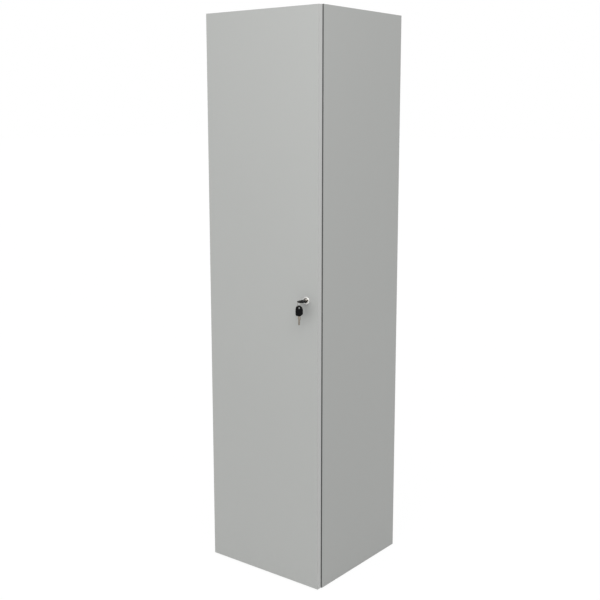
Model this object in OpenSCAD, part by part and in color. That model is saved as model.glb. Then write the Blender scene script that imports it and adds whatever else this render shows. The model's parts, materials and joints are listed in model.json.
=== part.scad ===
// Single-door locker of melamine-faced board with a full-overlay slab door,
// four concealed four-bar hinges, a hat shelf, a coat rail and a keyed cam lock.
// Millimetres. +X is to the right, +Y to the back and +Z up.
// The origin is on the floor, under the middle of the closed body.

/* [Body] */
// Width over the side panels
body_w = 450; // [400:10:600]
// Depth of the carcass behind the door
body_d = 420; // [360:2:560]
// Height of the carcass above its glides
body_h = 1815; // [1500:5:2100]
// Thickness of the carcass boards
board_t = 16; // [15:1:19]
// Thickness of the edge bands
band_t = 1; // [0.5:0.5:2]

/* [Back panel] */
// Thickness of the back panel
back_t = 4; // [3:1:6]
// Distance from the rear edges to the back panel
back_inset = 12; // [8:1:30]
// Depth of the groove that holds the back panel
groove_d = 8; // [5:1:10]
// Play of the back panel in its groove, each side
groove_play = 0.2; // [0.1:0.1:0.5]

/* [Corner fittings] */
// Distance from the front and rear edges to the nearest cam fitting
cam_from_edge = 60; // [45:5:90]
// Step from a cam fitting to the dowel beside it
dowel_step = 32; // [20:4:48]
// Diameter of the cam housings
cam_d = 15; // [12:1:16]
// Depth of the cam housings
cam_h = 12; // [10:0.5:12.5]
// Distance from the board's end to the middle of a cam housing
cam_back = 34; // [28:1:40]
// Diameter of the dowels
dowel_d = 8; // [6:1:8]
// Length of the dowels
dowel_l = 30; // [26:2:36]
// How far a dowel or bolt goes into the side panel
side_bore_d = 11; // [9:1:12]

/* [Glides] */
// Height of the floor glides
glide_h = 5; // [3:1:12]
// Diameter of the floor glides
glide_d = 9; // [8:0.5:9]
// Distance from the front edge and the back panel to a glide's middle
glide_from_edge = 25; // [15:5:35]
// Distance from a side panel's outer face to a glide's middle
glide_from_face = 11; // [6:0.5:11]

/* [Hat shelf] */
// Clear height above the hat shelf
hat_space = 290; // [220:10:400]
// Distance from the carcass front to the shelf's front edge
shelf_setback = 25; // [20:5:60]
// Side play of the shelf
shelf_play = 0.5; // [0.3:0.1:1]
// Distance from the carcass front to the front row of pin holes
pin_row = 70; // [60:2:90]
// Step between the heights that the shelf can be set to
pin_step = 32; // [25:1:40]
// Heights that the shelf can be set to
pin_places = 3; // [1:2:7]
// Diameter of the shelf pins
pin_d = 5; // [4:0.5:6]

/* [Coat rail] */
// Outer diameter of the coat rail
rail_d = 25; // [20:1:30]
// Wall of the coat rail
rail_wall = 1.2; // [1:0.1:2]
// Drop from the shelf's underside to the rail's axis
rail_drop = 60; // [45:5:90]
// Distance from the carcass front to the rail's axis
rail_y = 205; // [150:5:230]

/* [Door] */
// Thickness of the door
door_t = 16; // [15:1:19]
// Gap between the carcass front and the door
door_gap = 4; // [2:0.5:5]
// How far the door covers each side panel
overlay = 14.5; // [14:0.5:15]
// Reveal above and below the door
end_reveal = 1.5; // [1:0.5:4]

/* [Hinges] */
// Number of hinges
hinge_count = 4; // [3:1:5]
// Distance from the door's ends to the first and last hinge
hinge_end = 100; // [80:5:150]
// Diameter of the hinge cups
cup_d = 35; // [35:1:36]
// Depth of the hinge cups
cup_depth = 11.5; // [11.5:0.1:12]
// Board left between the door's edge and the cup
cup_edge = 4.5; // [4:0.5:5]
// Diameter of the link pins
link_pin_d = 2.4; // [2:0.1:2.6]
// Radial play of a link's eye on its pin
pin_play = 0.05; // [0.03:0.01:0.08]

/* [Lock] */
// Distance from the right outer face to the lock's axis
lock_edge = 47.5; // [44:0.5:60]
// Height of the lock's axis above the carcass bottom
lock_z = 938; // [700:1:1100]
// Diameter of the rosette
rosette_d = 23; // [21:1:28]
// Diameter of the lock housing in the door
lock_d = 18; // [17:0.5:19]
// Diameter of the lock plug
plug_d = 12; // [11:0.5:13]
// Length of the lock behind the door's front
lock_l = 28; // [26:1:32]
// Thickness of the locking cam
cam_plate_t = 2.6; // [2:0.2:4]
// Gap between the cam's tip and the side panel
cam_tip_gap = 4.5; // [3:0.5:8]

/* [Keys] */
// Width of a key bow
bow_w = 28; // [25:1:32]
// Length of a key bow
bow_l = 34; // [31:1:40]
// Thickness of a key bow
bow_t = 3; // [2.6:0.1:4]
// Length of a key's bare shoulder
shoulder_l = 10; // [9:1:14]
// Length of a key's blade
blade_l = 17.5; // [15:0.5:18]
// Thickness of a key's blade
blade_t = 2.2; // [1.8:0.1:2.4]
// Diameter of the wire of the key ring
wire_d = 1.3; // [1:0.1:1.6]
// Mean diameter of the key ring
ring_d = 17.8; // [17:0.2:20]

/* [Hidden] */
$fn = 48;

// Planes of the closed locker, front to back
all_d = body_d + door_gap + door_t;
door_front = -all_d / 2;
door_back = door_front + door_t;
body_front = door_back + door_gap;

// Inside of the carcass
inner_w = body_w - 2 * board_t;
inner_h = body_h - 2 * board_t;
back_y = body_d - back_inset - back_t;

// Door board
reveal = board_t - overlay;
door_w = body_w - 2 * reveal;
door_h = body_h - 2 * end_reveal;
bumper_t = door_gap - 0.3;

// Hat shelf and coat rail
shelf_z = body_h - board_t - hat_space - board_t;
rail_z = shelf_z - rail_drop;
rear_pin_row = back_y - 50;
pin_rows = [pin_row, rear_pin_row];
pin_mid = shelf_z - pin_d / 2 - 0.2;
pin_heights = [for (k = [0 : pin_places - 1]) pin_mid + (k - (pin_places - 1) / 2) * pin_step];
pin_bore = 10;
socket_r = rail_d / 2 + 8.5;
socket_screw_r = rail_d / 2 + 5;
socket_base = 2.5;
socket_h = 12;

// Fittings at the four corners
cam_rows = [cam_from_edge, back_y - cam_from_edge];
dowel_rows = [cam_rows[0] + dowel_step, cam_rows[1] - dowel_step];
bolt_d = 6;
bolt_neck_d = 3.6;
bolt_thread_d = 5;
nail_d = 2.2;
nail_l = 16;
nail_head_d = 4;
nail_recess = 1.8;

// Screws and their bores
head_rim = 0.3;
head_sink = 0.1;
small_head = 5;
small_shank = 3;
small_l = 12;
small_bore = small_shank + 0.1;
euro_head = 8;
euro_d = 5;
euro_l = 12;
cup_head = 6.5;
cup_shank = 3.5;
cup_screw_l = 13;
cup_screw_x = 6;
cup_screw_z = 24;
ear_t = 1.2;
ear_end = cup_screw_z + 6;

// Hinges
hinge_step = (door_h - 2 * hinge_end) / (hinge_count - 1);
hinge_heights = [for (i = [0 : hinge_count - 1]) end_reveal + hinge_end + i * hinge_step];
cup_x = reveal + cup_edge + cup_d / 2;
// Arm pivots, from the panel's inner face and the carcass front
outer_arm = [board_t + 27, 2.7 - door_gap];
inner_arm = [board_t + 18, 0.2 - door_gap];
// Cup pivots, from the door's edge and its back face
outer_cup = [reveal + 11.3, -door_gap - 2.3];
inner_cup = [reveal + 9.5, -door_gap - 6.4];
// Slot of the inner link for its cup pin, before and beyond the pin
slot_back = 0.15;
slot_front = 1.95;
slot_d = link_pin_d + 0.5;
// Bends that carry the links round the pins and the door's lip
outer_bends = [outer_arm + [-9.5, 5.8], outer_cup + [8.2, 3.1]];
inner_bend = inner_cup + [9.2, -0.2];
eye_r = 2.3;
// Mounting plate and arm
plate_y = 37;
plate_screw_z = 16;
plate_t = 2.2;
ridge_h = 12;
ridge_start = 25;
arm_t = 1.4;
arm_end = 66;
arm_web = outer_arm.y + 2.8;
arm_bend = 12;
arm_level = 30;
arm_foot = 26;
arm_screw_rows = [36, 56];
// Half heights of the nested links, cheeks and pocket
inner_half = 3.2;
outer_in = 3.5;
outer_out = 4.9;
arm_in = 5.2;
arm_out = 6.6;
pocket_half = 7.0;

// Lock and keys
lock_x = body_w / 2 - lock_edge;
plug_play = 0.05;
// Recess for the plug's collar, and the depth that a key's shoulder goes in to
recess = 1.2;
recess_d = plug_d + 2.4;
collar_h = 0.6;
key_stop = -6;
plug_face = 0.5;
shoulder_w = 9.5;
square_w = 6.2;
cam_reach = lock_edge - board_t - cam_tip_gap;
cam_front = lock_l + 0.4;
bow_start = key_stop + shoulder_l;
tang_w = 7.8;
tang_l = 8;
tang_t = 1.4;
bow_edge = 1;
rim_w = 4.5;
hole_d = 6.2;
hole_edge = 0.5;
mill_w = 1.4;
mill_depth = 0.5;
ring_lift = bow_t / 2 + 1.3;
rim_out = bow_start + bow_l - rim_w / 2;
ring_z = ring_lift - ring_d / 2;
spare_z = ring_z - ring_d / 2 + wire_d / 2 + 0.3;
lock_screw_y = 15;
lock_plate_t = 2;
strike_t = 2;
strike_l = 14;
strike_h = 30;
strike_y = cam_front - door_t - door_gap - strike_t - 1.2;
strike_base_t = 1.5;
strike_base_l = 20;
strike_screw_y = strike_y + strike_t + 9;
strike_screw_z = 9;

// Colours of the materials
board_grey = [0.71, 0.71, 0.70];
band_grey = [0.68, 0.68, 0.67];
steel = [0.62, 0.63, 0.65];
bright = [0.80, 0.81, 0.83];
black = [0.10, 0.10, 0.10];
brass_grey = [0.55, 0.53, 0.49];
beech = [0.80, 0.66, 0.46];

// Frames: x from a side's outer face, y from the carcass front, z from its bottom
module at_left() { translate([-body_w / 2, body_front, glide_h]) children(); }
module at_right() { translate([body_w / 2, body_front, glide_h]) mirror([1, 0, 0]) children(); }
module at_sides() {
    at_left() children();
    at_right() children();
}
// Frame of the door: y from its front face
module at_door() { translate([-door_w / 2, door_front, glide_h + end_reveal]) children(); }
// Frame of the lock: z points out of the door's front, y up
module at_lock() { translate([lock_x, door_front, glide_h + lock_z]) rotate([90, 0, 0]) children(); }
// One copy at each hinge, in the left side's frame
module at_hinges() { at_left() for (z = hinge_heights) translate([0, 0, z]) children(); }
module along_x() { rotate([0, 90, 0]) children(); }

// Countersunk screw for a face at z = 0, pointing down
module screw(head_d, shank_d, length) {
    cone_h = (head_d - shank_d) / 2;
    translate([0, 0, -head_sink]) difference() {
        rotate_extrude() polygon([[0, 0], [head_d / 2, 0], [head_d / 2, -head_rim],
            [shank_d / 2, -head_rim - cone_h], [shank_d / 2, -length + shank_d], [0.3, -length],
            [0, -length]]);
        for (a = [0, 90]) rotate([0, 0, a]) translate([-head_d / 4, -0.4, -0.9]) cube([head_d / 2, 0.8, 2]);
    }
}
// Countersunk bore for such a screw
module screw_bore(head_d, shank_d, length) {
    play = 0.1;
    cone_h = (head_d - shank_d) / 2;
    rim = head_sink + head_rim + play + 0.02;
    rotate_extrude() polygon([[0, 1], [head_d / 2 + play, 1], [head_d / 2 + play, -rim],
        [shank_d / 2 + play, -rim - cone_h], [shank_d / 2 + play, -length], [0, -length]]);
}

// Board of a side, with its groove, its fitting bores and its pin rows
module side_blank() {
    groove_w = back_t + 2 * groove_play;
    difference() {
        translate([0, band_t, 0]) cube([board_t, body_d - band_t, body_h - band_t]);
        translate([board_t - groove_d, back_y - groove_play, board_t - groove_d])
            cube([groove_d + 1, groove_w, inner_h + 2 * groove_d]);
        for (z = [board_t / 2, body_h - board_t / 2]) {
            for (y = cam_rows) translate([board_t - side_bore_d, y, z]) along_x()
                cylinder(d = bolt_thread_d, h = side_bore_d + 1);
            for (y = dowel_rows) translate([board_t - side_bore_d, y, z]) along_x()
                cylinder(d = dowel_d, h = side_bore_d + 1);
        }
        for (y = pin_rows) for (z = pin_heights) translate([board_t - pin_bore, y, z]) along_x()
            cylinder(d = pin_d, h = pin_bore + 1);
        for (z = [-1, 1]) translate([board_t - 11, rail_y, rail_z + z * socket_screw_r]) along_x()
            cylinder(d = small_bore, h = 12);
        at_glides() translate([0, 0, -1]) cylinder(d = nail_d + 0.1, h = nail_l - glide_h + 2);
    }
}
// One copy at each glide of a side, near the inner face, where the board hides it from above
module at_glides() {
    for (y = [glide_from_edge, back_y - glide_from_edge]) translate([glide_from_face, y, 0]) children();
}

module left_side_panel() {
    color(board_grey) at_left() difference() {
        side_blank();
        for (z = hinge_heights) for (s = [-1, 1])
            translate([board_t - euro_l, plate_y, z + s * plate_screw_z])
            along_x() cylinder(d = euro_d, h = euro_l + 1);
    }
}
module right_side_panel() {
    color(board_grey) at_right() difference() {
        side_blank();
        for (s = [-1, 1]) translate([board_t - 11, strike_screw_y, lock_z + s * strike_screw_z]) along_x()
            cylinder(d = small_bore, h = 12);
    }
}

// Board between the sides; its inner face is at z = board_t
module cross_board() {
    groove_w = back_t + 2 * groove_play;
    difference() {
        translate([board_t, band_t, 0]) cube([inner_w, body_d - band_t, board_t]);
        translate([board_t - 1, back_y - groove_play, board_t - groove_d])
            cube([inner_w + 2, groove_w, groove_d + 1]);
        for (m = [0, 1]) translate([m * body_w, 0, 0]) mirror([m, 0, 0]) {
            for (y = cam_rows) {
                translate([board_t + cam_back, y, board_t - cam_h]) cylinder(d = cam_d, h = cam_h + 1);
                translate([board_t - 1, y, board_t / 2]) along_x() cylinder(d = 8, h = cam_back);
            }
            for (y = dowel_rows) translate([board_t - 1, y, board_t / 2]) along_x()
                cylinder(d = dowel_d, h = dowel_l - side_bore_d + 3);
        }
    }
}
module bottom_panel() { color(board_grey) at_left() cross_board(); }
module top_panel() {
    color(board_grey) at_left() translate([0, 0, body_h]) mirror([0, 0, 1]) cross_board();
}
// One copy at each corner joint, in the frame of the cross board
module at_corners() {
    at_sides() {
        children();
        translate([0, 0, body_h]) mirror([0, 0, 1]) children();
    }
}
module back_panel() {
    tongue = groove_d - 0.5;
    color(board_grey) at_left() translate([board_t - tongue, back_y, board_t - groove_d])
        cube([inner_w + 2 * tongue, back_t, inner_h + groove_d + tongue]);
}
module carcass_edge_bands() {
    color(band_grey) {
        at_sides() {
            cube([board_t, band_t, body_h]);
            translate([0, band_t, body_h - band_t]) cube([board_t, body_d - band_t, band_t]);
        }
        for (z = [0, body_h - board_t]) at_left() translate([board_t, 0, z])
            cube([inner_w, band_t, board_t]);
    }
}
module dowels() {
    color(beech) at_corners() for (y = dowel_rows)
        translate([board_t - side_bore_d + 0.5, y, board_t / 2]) along_x()
            cylinder(d = dowel_d - 0.1, h = dowel_l);
}
module cam_housings() {
    color(steel) at_corners() for (y = cam_rows)
        translate([board_t + cam_back, y, board_t - cam_h]) difference() {
            cylinder(d = cam_d - 0.3, h = cam_h - 0.2);
            translate([-cam_d / 2 + 2, 0, cam_h - board_t / 2]) along_x()
                cylinder(d = 7.4, h = cam_d / 2 + 1);
            translate([-cam_d, 0, cam_h - board_t / 2]) along_x() cylinder(d = 4.6, h = cam_d);
            for (a = [0, 90]) rotate([0, 0, a]) translate([-3.6, -0.7, cam_h - 2.4]) cube([7.2, 1.4, 3]);
        }
}
module cam_bolts() {
    head_at = cam_back - cam_d / 2 + 2.4;
    color(steel) at_corners() for (y = cam_rows) translate([board_t, y, board_t / 2]) along_x()
        rotate_extrude() polygon([[0, 0.5 - side_bore_d], [bolt_thread_d / 2 - 0.05, 0.5 - side_bore_d],
            [bolt_thread_d / 2 - 0.05, 0], [bolt_d / 2 + 0.7, 0], [bolt_d / 2 + 0.7, 1.6],
            [bolt_d / 2, 1.6], [bolt_d / 2, head_at - 3.2], [bolt_neck_d / 2, head_at - 2.6],
            [bolt_neck_d / 2, head_at], [bolt_d / 2 + 0.4, head_at + 0.6],
            [bolt_d / 2 + 0.4, head_at + 2.6], [bolt_d / 2 - 0.8, head_at + 3.6], [0, head_at + 3.6]]);
}
module cam_caps() {
    color(board_grey) at_corners() for (y = cam_rows) translate([board_t + cam_back, y, board_t]) {
        rotate_extrude() polygon([[0, 0], [cam_d / 2 + 1, 0], [cam_d / 2 + 1, 0.4], [cam_d / 2 + 0.4, 0.9],
            [0, 0.9]]);
        translate([-0.55, -0.55, -1.6]) cube([1.1, 1.1, 1.7]);
    }
}
module floor_glides() {
    r = glide_d / 2;
    color(black) at_sides() at_glides() translate([0, 0, -glide_h]) difference() {
        rotate_extrude() polygon([[0, 0], [r - 1, 0], [r - 0.3, 0.8], [r, 2], [r, glide_h], [0, glide_h]]);
        translate([0, 0, -1]) cylinder(d = nail_head_d + 0.4, h = nail_recess + 1);
        cylinder(d = nail_d + 0.1, h = glide_h + 1);
    }
}
module glide_nails() {
    head_r = nail_head_d / 2;
    color(steel) at_sides() at_glides() translate([0, 0, nail_recess - glide_h]) rotate_extrude()
        polygon([[0, -0.8], [head_r, -0.8], [head_r, 0], [nail_d / 2, 0], [nail_d / 2, nail_l - 3],
            [0, nail_l - 1.2]]);
}

module hat_shelf() {
    color(board_grey) at_left() translate([board_t + shelf_play, shelf_setback + band_t, shelf_z])
        cube([inner_w - 2 * shelf_play, back_y - shelf_setback - band_t - 1, board_t]);
}
module shelf_edge_band() {
    color(band_grey) at_left() translate([board_t + shelf_play, shelf_setback, shelf_z])
        cube([inner_w - 2 * shelf_play, band_t, board_t]);
}
module shelf_pins() {
    color(steel) at_sides() for (y = pin_rows) {
        translate([board_t - pin_bore + 0.5, y, pin_mid]) along_x()
            cylinder(d = pin_d - 0.1, h = pin_bore + 7);
        translate([board_t, y - 4, shelf_z - 1.6]) cube([8, 8, 1.6]);
    }
}
module coat_rail() {
    end_play = 0.4;
    length = inner_w - 2 * (socket_base + end_play);
    color(bright) at_left() translate([board_t + socket_base + end_play, rail_y, rail_z]) along_x()
    difference() {
        cylinder(d = rail_d, h = length);
        translate([0, 0, -1]) cylinder(d = rail_d - 2 * rail_wall, h = length + 2);
    }
}
module rail_sockets() {
    bore_r = rail_d / 2 + 0.15;
    color(bright) at_sides() translate([board_t, rail_y, rail_z]) along_x() difference() {
        rotate_extrude() polygon([[0, 0], [socket_r, 0], [socket_r, socket_base - 1],
            [socket_r - 1, socket_base], [bore_r + 2, socket_base], [bore_r + 1.6, socket_h],
            [bore_r, socket_h], [bore_r, socket_base], [0, socket_base]]);
        for (s = [-1, 1]) translate([s * socket_screw_r, 0, socket_base])
            screw_bore(small_head, small_shank, 4);
    }
}
module rail_screws() {
    color(steel) at_sides() translate([board_t, rail_y, rail_z]) along_x() for (s = [-1, 1])
        translate([s * socket_screw_r, 0, socket_base]) screw(small_head, small_shank, small_l);
}

// A flat bar through a list of points
module bar(points, width) {
    for (i = [0 : len(points) - 2]) {
        step = points[i + 1] - points[i];
        translate(points[i]) rotate(atan2(step.y, step.x)) translate([0, -width / 2])
            square([norm(step), width]);
    }
    for (i = [1 : 1 : len(points) - 2]) translate(points[i]) circle(d = width + 0.3);
}
// A plate of that outline between two heights, above and below the middle
module both_cheeks(low, high) {
    for (m = [0, 1]) mirror([0, 0, m]) translate([0, 0, low]) linear_extrude(high - low) children();
}
module pin(at, low, high, play = 0) {
    translate([at.x, at.y, low]) cylinder(d = link_pin_d + 2 * play, h = high - low);
}

module hinge_plates() {
    wing = 24;
    color(steel) at_hinges() difference() {
        union() {
            translate([board_t, plate_y, 0]) along_x() linear_extrude(plate_t)
                polygon([[wing, -4], [wing - 4, -8], [-wing + 4, -8], [-wing, -4],
                    [-wing, 4], [-wing + 4, 8], [wing - 4, 8], [wing, 4]]);
            translate([board_t, ridge_start, 0.3 - arm_in])
                cube([ridge_h, arm_end - ridge_start + 2, 2 * (arm_in - 0.3)]);
        }
        for (s = [-1, 1]) translate([board_t + plate_t, plate_y, s * plate_screw_z]) along_x()
            screw_bore(euro_head, euro_d, 4);
        for (y = arm_screw_rows) translate([board_t + 3, y, 0]) along_x() cylinder(d = 4.1, h = ridge_h);
    }
}
module plate_screws() {
    color(steel) at_hinges() for (s = [-1, 1]) translate([board_t + plate_t, plate_y, s * plate_screw_z])
        along_x() screw(euro_head, euro_d - 0.1, euro_l + 1);
}
module hinge_arms() {
    top = board_t + ridge_h + arm_t;
    foot = board_t + plate_t + 0.3;
    crown = outer_arm.x + eye_r - 0.2;
    color(bright) at_hinges() difference() {
        union() {
            both_cheeks(arm_in, arm_out) {
                translate(inner_arm) circle(r = eye_r - 0.1);
                translate(outer_arm) circle(r = eye_r - 0.1);
                polygon([inner_arm + [-2, 0.3], inner_arm + [-1.2, -1.7], inner_arm + [1.4, -1.6],
                    inner_arm + [3.6, 0.6], outer_arm + [0, -1.9], [crown, outer_arm.y],
                    [crown, arm_bend], [top, arm_level], [top, arm_end], [foot, arm_end], [foot, arm_foot],
                    inner_arm + [-2, 11.8]]);
            }
            translate([0, 0, -arm_out]) linear_extrude(2 * arm_out) polygon([[crown, arm_web],
                [crown, arm_bend], [top, arm_level], [top, arm_end], [top - arm_t, arm_end],
                [top - arm_t, arm_level - 0.5], [crown - arm_t, arm_bend - 0.5], [crown - arm_t, arm_web]]);
        }
        for (p = [outer_arm, inner_arm]) pin(p, -arm_out - 1, arm_out + 1, pin_play);
        for (y = arm_screw_rows) translate([top - arm_t - 1, y, 0]) along_x() cylinder(d = 4.3, h = 4);
    }
}
module arm_screws() {
    top = board_t + ridge_h + arm_t;
    color(steel) at_hinges() for (y = arm_screw_rows) translate([top, y, 0]) along_x() difference() {
        rotate_extrude() polygon([[0, 2], [3, 2], [3.6, 1.2], [3.6, 0], [2, 0], [2, -9], [1.2, -10],
            [0, -10]]);
        for (a = [0, 90]) rotate([0, 0, a]) translate([-2.2, -0.4, 0.9]) cube([4.4, 0.8, 2]);
    }
}
module arm_pins() {
    color(bright) at_hinges() for (p = [outer_arm, inner_arm]) pin(p, -arm_out - 0.4, arm_out + 0.4);
}
module outer_links() {
    line = concat([outer_arm], outer_bends, [outer_cup]);
    first = outer_bends[0] - outer_arm;
    color(bright) at_hinges() difference() {
        union() {
            both_cheeks(outer_in, outer_out) {
                bar(line, 3.2);
                translate(outer_arm) circle(r = eye_r);
                translate(outer_cup) circle(r = eye_r);
            }
            translate([0, 0, -outer_out]) linear_extrude(2 * outer_out) translate(outer_arm)
                rotate(atan2(first.y, first.x)) translate([4, -1.6]) square([norm(first) - 4, 1.3]);
        }
        for (p = [outer_arm, outer_cup]) pin(p, -outer_out - 1, outer_out + 1, pin_play);
    }
}
// The inner link turns on its arm pin; its cup pin runs in a short slot
module inner_links() {
    along = (inner_cup - inner_arm) / norm(inner_cup - inner_arm);
    slot = [inner_cup - slot_back * along, inner_cup + slot_front * along];
    color(bright) at_hinges() difference() {
        translate([0, 0, -inner_half]) linear_extrude(2 * inner_half) {
            bar([inner_arm, inner_bend, inner_cup], 2.6);
            translate(inner_arm) circle(r = eye_r);
            bar(slot, 2 * eye_r - 0.3);
            for (p = slot) translate(p) circle(r = eye_r - 0.1);
        }
        pin(inner_arm, -inner_half - 1, inner_half + 1, pin_play);
        translate([0, 0, -inner_half - 1]) linear_extrude(2 * inner_half + 2) {
            for (p = slot) translate(p) circle(d = slot_d);
            bar(slot, slot_d - 0.02);
        }
    }
}

// Bores of the hinge cups and of their screws in the door
module cup_bores() {
    at_hinges() {
        translate([cup_x, -door_gap + 1, 0]) rotate([90, 0, 0])
            cylinder(d = cup_d, h = cup_depth + 1.2, $fn = 96);
        for (s = [-1, 1]) translate([cup_x + cup_screw_x, -door_gap + ear_t, s * cup_screw_z])
        rotate([-90, 0, 0]) {
            screw_bore(cup_head, cup_shank, 3);
            translate([0, 0, -cup_screw_l - 0.5]) cylinder(d = cup_shank + 0.1, h = cup_screw_l);
        }
    }
}
module hinge_cups() {
    pocket_x = 15;
    window_half = inner_half + 0.3;
    color(bright) at_hinges() difference() {
        union() {
            translate([cup_x, -door_gap, 0]) rotate([90, 0, 0])
                cylinder(d = cup_d - 0.2, h = cup_depth, $fn = 96);
            for (m = [0, 1]) mirror([0, 0, m]) translate([cup_x, -door_gap + ear_t, 0]) rotate([90, 0, 0])
                linear_extrude(ear_t) polygon([[4.5 - cup_d / 2, pocket_half + 0.2],
                    [5.5 - cup_d / 2, cup_d * 0.4], [cup_screw_x - 8, cup_screw_z - 2],
                    [cup_screw_x - 6, ear_end - 2], [cup_screw_x - 3, ear_end], [cup_screw_x + 3, ear_end],
                    [cup_screw_x + 6, ear_end - 2], [cup_screw_x + 8, cup_screw_z - 6],
                    [cup_d / 2 - 2.5, pocket_half + 0.2]]);
        }
        translate([cup_x - pocket_x, 0.8 - door_gap - cup_depth, -pocket_half])
            cube([2 * pocket_x, cup_depth + 2, 2 * pocket_half]);
        translate([cup_x - cup_d / 2 - 1, -door_gap - 3, -5.4]) cube([5, 5, 10.8]);
        translate([cup_x - cup_d / 2 - 1, 0.8 - door_gap - cup_depth, -window_half])
            cube([5, cup_depth, 2 * window_half]);
        for (p = [outer_cup, inner_cup]) pin(p, -10, 10, pin_play);
        for (s = [-1, 1]) translate([cup_x + cup_screw_x, -door_gap + ear_t, s * cup_screw_z])
            rotate([-90, 0, 0]) screw_bore(cup_head, cup_shank, 3);
    }
}
module cup_pins() {
    color(steel) at_hinges() {
        pin(inner_cup, -9.8, 9.8);
        for (m = [0, 1]) mirror([0, 0, m]) pin(outer_cup, outer_in - 0.1, 9.8);
    }
}
module cup_screws() {
    color(steel) at_hinges() for (s = [-1, 1])
        translate([cup_x + cup_screw_x, -door_gap + ear_t, s * cup_screw_z])
            rotate([-90, 0, 0]) screw(cup_head, cup_shank, cup_screw_l);
}
module door_panel() {
    color(board_grey) difference() {
        at_door() translate([band_t, 0, band_t]) cube([door_w - 2 * band_t, door_t, door_h - 2 * band_t]);
        cup_bores();
        at_lock() {
            translate([0, 0, -door_t - 1]) cylinder(d = lock_d + 0.2, h = door_t + 2);
            for (s = [-1, 1]) translate([0, s * lock_screw_y, -door_t - 1])
                cylinder(d = small_bore, h = 12);
        }
    }
}
module door_edge_bands() {
    color(band_grey) at_door() {
        for (x = [0, door_w - band_t]) translate([x, 0, 0]) cube([band_t, door_t, door_h]);
        for (z = [0, door_h - band_t]) translate([band_t, 0, z])
            cube([door_w - 2 * band_t, door_t, band_t]);
    }
}
module door_bumpers() {
    color([0.85, 0.86, 0.86]) at_door() for (z = [60, door_h - 60])
        translate([door_w + reveal - board_t / 2, door_t, z]) rotate([-90, 0, 0])
            rotate_extrude() polygon([[0, 0], [4, 0], [4, bumper_t - 0.6], [3.2, bumper_t - 0.1],
                [2.5, bumper_t], [0, bumper_t]]);
}

module lock_housing() {
    color(steel) at_lock() difference() {
        union() {
            translate([0, 0, -lock_l]) cylinder(d = lock_d, h = lock_l);
            translate([0, 0, -door_t - lock_plate_t]) linear_extrude(lock_plate_t)
                polygon([[-11, -17], [-8, -20], [8, -20], [11, -17], [11, 17], [8, 20], [-8, 20],
                    [-11, 17]]);
        }
        translate([0, 0, -lock_l - 1]) cylinder(d = plug_d + 2 * plug_play, h = lock_l + 2);
        translate([0, 0, -recess]) cylinder(d = recess_d, h = recess + 1);
        for (s = [-1, 1]) translate([0, s * lock_screw_y, -door_t - lock_plate_t]) rotate([180, 0, 0])
            screw_bore(small_head, small_shank, 4);
    }
}
module lock_screws() {
    color(steel) at_lock() for (s = [-1, 1]) translate([0, s * lock_screw_y, -door_t - lock_plate_t])
        rotate([180, 0, 0]) screw(small_head, small_shank, small_l);
}
module lock_rosette() {
    r = rosette_d / 2;
    bore = plug_d / 2 + 0.4;
    color(bright) at_lock() rotate_extrude($fn = 96) polygon([[bore, 0], [r, 0], [r, 0.9], [r - 0.3, 1.9],
        [r - 0.9, 2.6], [r - 1.6, 2.8], [r - 2.2, 2.6], [r - 3, 1.9], [bore + 1, 0.8], [bore, 0.5]]);
}
module lock_plug() {
    slot_w = 6.4;
    color(brass_grey) at_lock() difference() {
        union() {
            translate([0, 0, 0.1 - recess]) cylinder(d = recess_d - 0.2, h = collar_h);
            translate([0, 0, -lock_l - 0.2]) cylinder(d = plug_d, h = lock_l + plug_face + 0.2);
            translate([-square_w / 2, -square_w / 2, -cam_front - cam_plate_t - 0.2])
                cube([square_w, square_w, cam_plate_t + 1]);
        }
        translate([-slot_w / 2, -blade_t / 2 - 0.12, key_stop - blade_l - 0.5])
            cube([slot_w, blade_t + 0.24, blade_l + 1]);
        translate([-shoulder_w / 2 - 0.12, -blade_t / 2 - 0.12, key_stop - 0.2])
            cube([shoulder_w + 0.24, blade_t + 0.24, plug_face - key_stop + 1]);
        translate([0, 0, -cam_front - cam_plate_t - 1]) cylinder(d = 3.1, h = 5.5);
    }
}
module lock_cam() {
    hole = square_w + 0.1;
    color(steel) at_lock() translate([0, 0, -cam_front - cam_plate_t]) difference() {
        linear_extrude(cam_plate_t) union() {
            circle(r = 8);
            polygon([[-6.5, 0], [6.5, 0], [6.5, cam_reach - 3], [3.5, cam_reach], [-3.5, cam_reach],
                [-6.5, cam_reach - 3]]);
        }
        translate([-hole / 2, -hole / 2, -1]) cube([hole, hole, cam_plate_t + 2]);
    }
}
module cam_screw() {
    color(steel) at_lock() translate([0, 0, -cam_front - cam_plate_t - 0.3]) rotate([180, 0, 0])
    difference() {
        rotate_extrude() polygon([[0, 2.4], [3.6, 2.4], [4.6, 1.4], [4.6, 0], [1.5, 0], [1.5, -4],
            [0, -4]]);
        for (a = [0, 90]) rotate([0, 0, a]) translate([-2.4, -0.45, 1.1]) cube([4.8, 0.9, 2]);
    }
}
module strike_plate() {
    color(steel) at_right() difference() {
        translate([board_t, strike_y, lock_z - strike_h / 2]) union() {
            cube([strike_base_t, strike_base_l, strike_h]);
            cube([strike_l, strike_t, strike_h]);
        }
        for (s = [-1, 1]) translate([board_t + strike_base_t, strike_screw_y, lock_z + s * strike_screw_z])
            along_x() screw_bore(small_head, small_shank, 4);
    }
}
module strike_screws() {
    color(steel) at_right() for (s = [-1, 1])
        translate([board_t + strike_base_t, strike_screw_y, lock_z + s * strike_screw_z]) along_x()
            screw(small_head, small_shank, small_l);
}

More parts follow.
